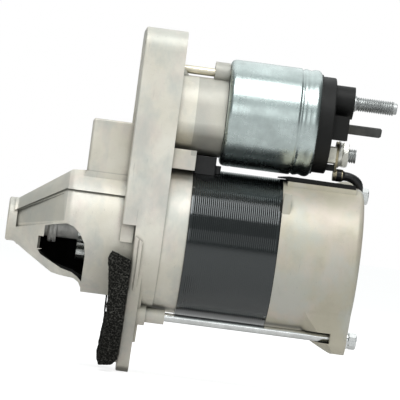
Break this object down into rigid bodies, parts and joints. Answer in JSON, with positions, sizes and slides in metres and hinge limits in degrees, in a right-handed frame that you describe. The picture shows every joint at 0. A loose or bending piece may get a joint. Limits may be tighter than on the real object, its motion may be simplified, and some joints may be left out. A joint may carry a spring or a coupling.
{
  "type": "starter motor",
  "caption": "Starter motor with an overhead solenoid, planetary gear reduction and a sliding pinion inside an open-windowed nose casting.",
  "frame": {"origin": "centre of the pilot spigot in the plane of the flange's mounting face, on the shaft axis", "axes": "+X along the shaft from the nose to the rear cover, +Z from the shaft towards the solenoid, the nose window on -Y"},
  "size_m": [0.2051, 0.092, 0.189],
  "materials": {
    "cast_aluminium": "satin cast",
    "foam": "matte open-cell foam",
    "bronze": "satin",
    "steel": "satin",
    "zinc": "zinc-plated",
    "black_paint": "gloss",
    "black_plastic": "matte",
    "black_rubber": "matte",
    "magnet": "matte",
    "laminations": "satin",
    "copper": "satin",
    "brass": "satin",
    "carbon": "matte",
    "tinned": "satin",
    "cable_sleeve": "gloss sleeve"
  },
  "bodies": {
    "housing": {"drive_end_housing": "cast_aluminium", "nose_bushing": "bronze", "foam_seal": "foam", "lever_pin": "steel", "solenoid_screws": "zinc", "ring_gear": "steel", "bearing_plate": "steel", "intermediate_bushing": "bronze", "yoke": "black_paint", "yoke_seal": "black_rubber", "magnets": "magnet", "brush_plate": "steel", "brush_holders": "black_plastic", "brushes": "carbon", "brush_springs": "steel", "rear_cover": "cast_aluminium", "rear_bushing": "bronze", "through_bolts": "zinc", "cover_strip": "black_plastic", "motor_lead": "cable_sleeve", "lead_lug": "brass", "lead_grommet": "black_rubber", "solenoid_can": "zinc", "solenoid_front_plate": "steel", "coil_bobbin": "black_plastic", "pull_in_winding": "copper", "hold_in_winding": "copper", "fixed_core": "steel", "solenoid_cap": "black_plastic", "cap_seal": "black_rubber", "battery_stud": "zinc", "motor_stud": "zinc", "motor_stud_nut": "zinc", "stud_washers": "zinc", "stud_spacer": "zinc", "signal_blade": "tinned", "plunger_return_spring": "steel"},
    "plunger": {"plunger": "steel", "plunger_hook": "steel"},
    "lever": {"fork_lever": "black_plastic", "fork_shoes": "black_plastic"},
    "contact": {"contact_rod": "black_plastic", "contact_disc": "copper"},
    "output": {"output_shaft": "steel", "planet_pins": "steel", "stop_collar": "steel", "snap_ring": "steel"},
    "clutch": {"clutch_sleeve": "steel", "clutch_shell": "steel", "clutch_rollers": "steel"},
    "pinion": {"pinion": "steel"},
    "armature": {"armature_shaft": "steel", "armature_core": "laminations", "armature_winding": "copper", "commutator": "copper"},
    "planet_1": {"planet_gear_1": "steel"},
    "planet_2": {"planet_gear_2": "steel"},
    "planet_3": {"planet_gear_3": "steel"}
  },
  "joints": [
    {"name": "plunger_slide", "type": "slide", "parent": "housing", "child": "plunger", "axis": [1, 0, 0], "range_m": [0, 0.00704], "stiffness_N_per_m": 600, "springref_m": -0.012, "deforming": ["plunger_return_spring"]},
    {"name": "lever_pivot", "type": "hinge", "parent": "housing", "child": "lever", "pos_m": [0.0075, 0, 0.045], "axis": [0, 1, 0], "range_deg": [0, 14.6]},
    {"name": "contact_slide", "type": "slide", "parent": "housing", "child": "contact", "axis": [1, 0, 0], "range_m": [0, 0.0015]},
    {"name": "armature_spin", "type": "hinge", "parent": "housing", "child": "armature", "pos_m": [0.06, 0, 0], "axis": [1, 0, 0], "continuous": true},
    {"name": "output_shaft_spin", "type": "hinge", "parent": "housing", "child": "output", "pos_m": [0, 0, 0], "axis": [1, 0, 0], "continuous": true},
    {"name": "clutch_slide", "type": "slide", "parent": "output", "child": "clutch", "axis": [-1, 0, 0], "range_m": [0, 0.0115]},
    {"name": "pinion_spin", "type": "hinge", "parent": "clutch", "child": "pinion", "pos_m": [-0.015, 0, 0], "axis": [1, 0, 0], "continuous": true},
    {"name": "planet_spin_1", "type": "hinge", "parent": "output", "child": "planet_1", "pos_m": [0.031, 0.02025, 0], "axis": [1, 0, 0], "continuous": true},
    {"name": "planet_spin_2", "type": "hinge", "parent": "output", "child": "planet_2", "pos_m": [0.031, -0.01013, 0.01754], "axis": [1, 0, 0], "continuous": true},
    {"name": "planet_spin_3", "type": "hinge", "parent": "output", "child": "planet_3", "pos_m": [0.031, -0.01013, -0.01754], "axis": [1, 0, 0], "continuous": true}
  ],
  "couplings": [
    {"joint": "lever_pivot", "follows": "plunger_slide", "rad_per_m": 36.05},
    {"joint": "contact_slide", "follows": "plunger_slide", "ratio": 0.213},
    {"joint": "clutch_slide", "follows": "plunger_slide", "ratio": 1.6333},
    {"joint": "output_shaft_spin", "follows": "armature_spin", "ratio": 0.22222},
    {"joint": "planet_spin_1", "follows": "armature_spin", "ratio": -0.62222},
    {"joint": "planet_spin_2", "follows": "armature_spin", "ratio": -0.62222},
    {"joint": "planet_spin_3", "follows": "armature_spin", "ratio": -0.62222}
  ]
}
